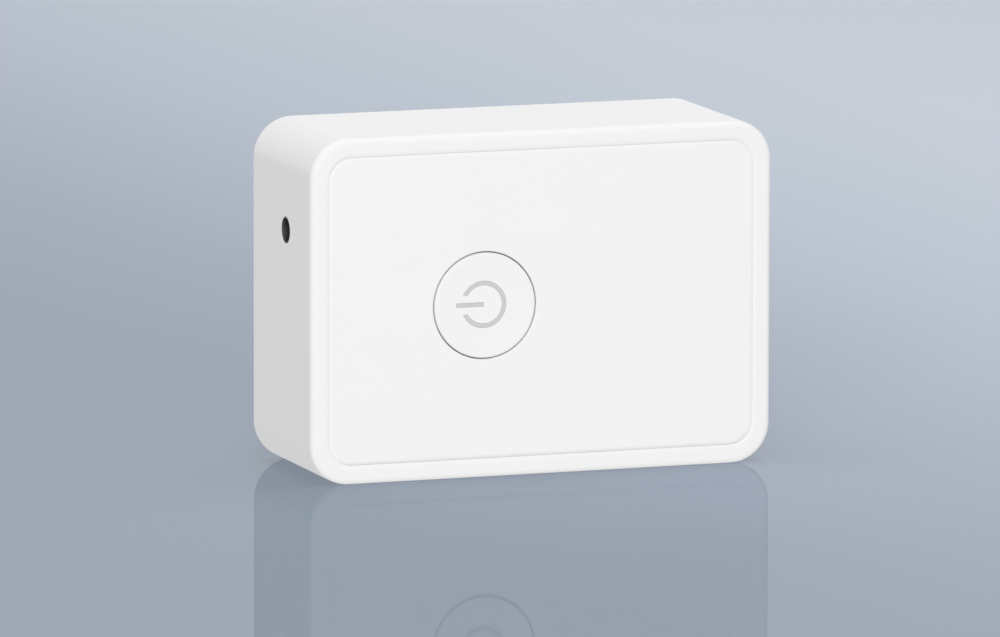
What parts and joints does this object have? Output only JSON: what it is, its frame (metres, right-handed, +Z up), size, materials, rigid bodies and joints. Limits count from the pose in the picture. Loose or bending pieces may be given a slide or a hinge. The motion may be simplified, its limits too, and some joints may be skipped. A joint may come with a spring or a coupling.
{
  "type": "smart home hub",
  "caption": "Small white radio hub: rounded sleeve housing, inset front panel with a round power button, power socket in its side, screwed rear cover with keyholes.",
  "frame": {"origin": "middle of the underside, on the surface that the hub stands on", "axes": "+Z up as pictured, -Y out of the front panel, +X to the right when looking at the front; the power socket is in the -X side"},
  "size_m": [0.072, 0.0278, 0.0513],
  "materials": {
    "shell": "fine satin, moulded white",
    "guide": "light grey, translucent, flush with the cap",
    "foot_rubber": "dark grey, dull",
    "black_nylon": "black, dull",
    "black_eyelet": "thin drawn brass, blackened",
    "board": "green solder resist",
    "steel": "zinc plated",
    "plated_sheet": "tin plated pressed sheet",
    "gold_strip": "gold plated pressed strip",
    "chip_resin": "moulded black resin",
    "chip_ceramic": "fired ceramic with tinned ends"
  },
  "bodies": {
    "hub": {"housing": "shell", "front_panel": "shell", "rear_cover": "shell", "corner_screws": "steel", "rubber_feet": "foot_rubber", "light_baffle": "black_nylon", "main_board": "board", "board_screws": "steel", "switch_base": "black_nylon", "switch_cover": "plated_sheet", "switch_dome": "plated_sheet", "switch_terminals": "plated_sheet", "socket_eyelet": "black_eyelet", "jack_body": "black_nylon", "jack_center_pin": "plated_sheet", "jack_side_contact": "plated_sheet", "wifi_board": "board", "wifi_shield": "plated_sheet", "mesh_board": "board", "mesh_shield": "plated_sheet", "antenna": "gold_strip", "processor": "chip_resin", "memory_chip": "chip_resin", "regulator": "chip_resin", "inductor": "chip_resin", "capacitors": "plated_sheet", "crystal": "plated_sheet", "status_leds": "chip_ceramic", "small_parts": "chip_ceramic"},
    "button": {"button_cap": "shell", "light_guide": "guide"},
    "plunger": {"switch_plunger": "black_nylon"}
  },
  "joints": [
    {"name": "button_press", "type": "slide", "parent": "hub", "child": "button", "axis": [0, 1, 0], "range_m": [0, 0.00025], "stiffness_N_per_m": 400, "springref_m": -0.003},
    {"name": "plunger_press", "type": "slide", "parent": "hub", "child": "plunger", "axis": [0, 1, 0], "range_m": [0, 0.00025], "deforming": ["switch_dome"]}
  ],
  "couplings": [
    {"joint": "plunger_press", "follows": "button_press", "ratio": 1}
  ]
}
